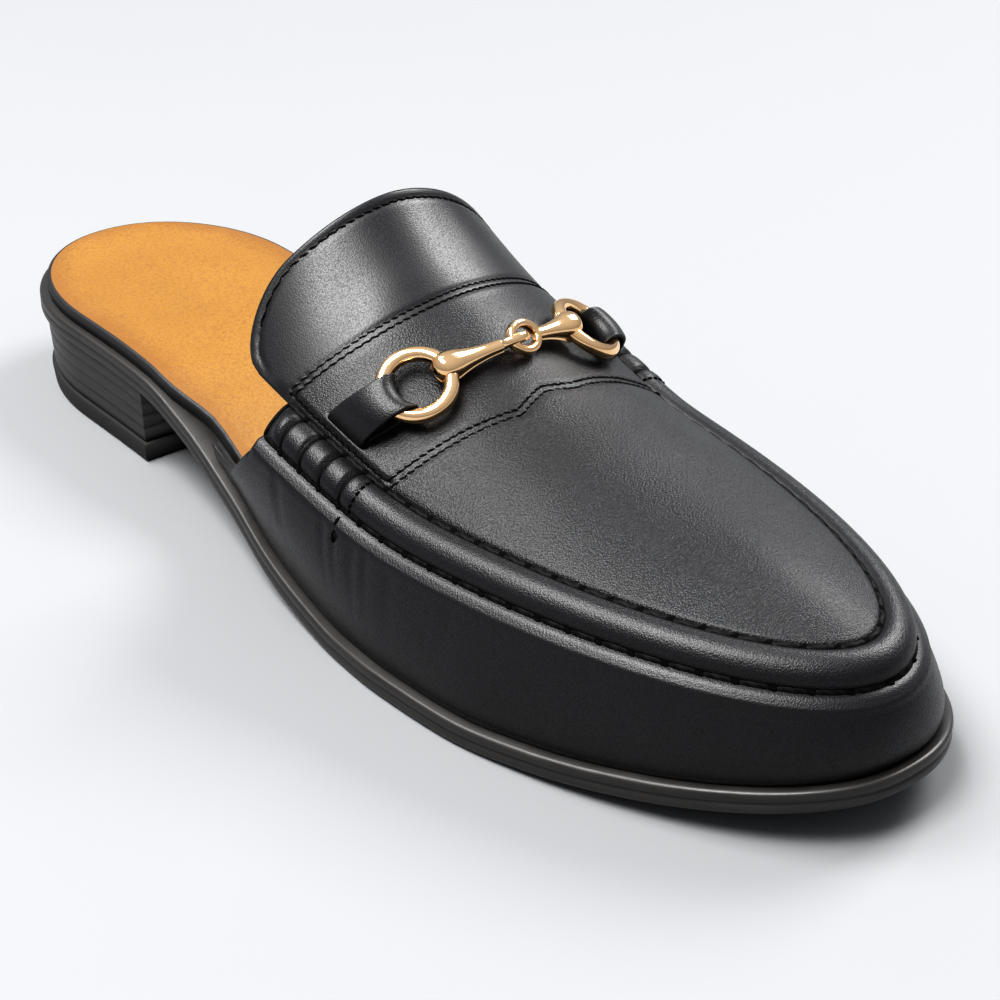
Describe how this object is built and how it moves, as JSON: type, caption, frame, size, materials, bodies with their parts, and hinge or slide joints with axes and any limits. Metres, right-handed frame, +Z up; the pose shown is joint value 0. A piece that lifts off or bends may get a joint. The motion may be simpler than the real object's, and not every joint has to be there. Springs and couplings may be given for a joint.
{
  "type": "mule",
  "caption": "Backless leather loafer mule with a moccasin apron, a raised tongue, a low stacked heel and a metal bit held by leather tabs across the saddle.",
  "frame": {"origin": "bottom centre of the shoe's box, on the floor", "axes": "+X to the toe, +Y to the wearer's left, which is the medial side of this right shoe, +Z up"},
  "size_m": [0.285, 0.0968, 0.0808],
  "materials": {
    "upper_leather": "smooth black calf with fine grain and a soft sheen",
    "insole_leather": "tan leather sock, satin",
    "sole_leather": "blackened leather sole edge, satin",
    "heel_leather": "blackened stacked leather, satin",
    "lift_rubber": "matte black rubber",
    "tab_leather": "smooth black leather strip with cut edges",
    "bit_metal": "polished pale gold plate"
  },
  "bodies": {
    "root": {"upper": "upper_leather", "insole": "insole_leather", "outsole": "sole_leather", "heel": "heel_leather", "top_lift": "lift_rubber", "tab_lateral": "tab_leather", "tab_medial": "tab_leather", "ring_lateral": "bit_metal", "ring_medial": "bit_metal", "bar_lateral": "bit_metal", "bar_medial": "bit_metal"}
  },
  "joints": []
}
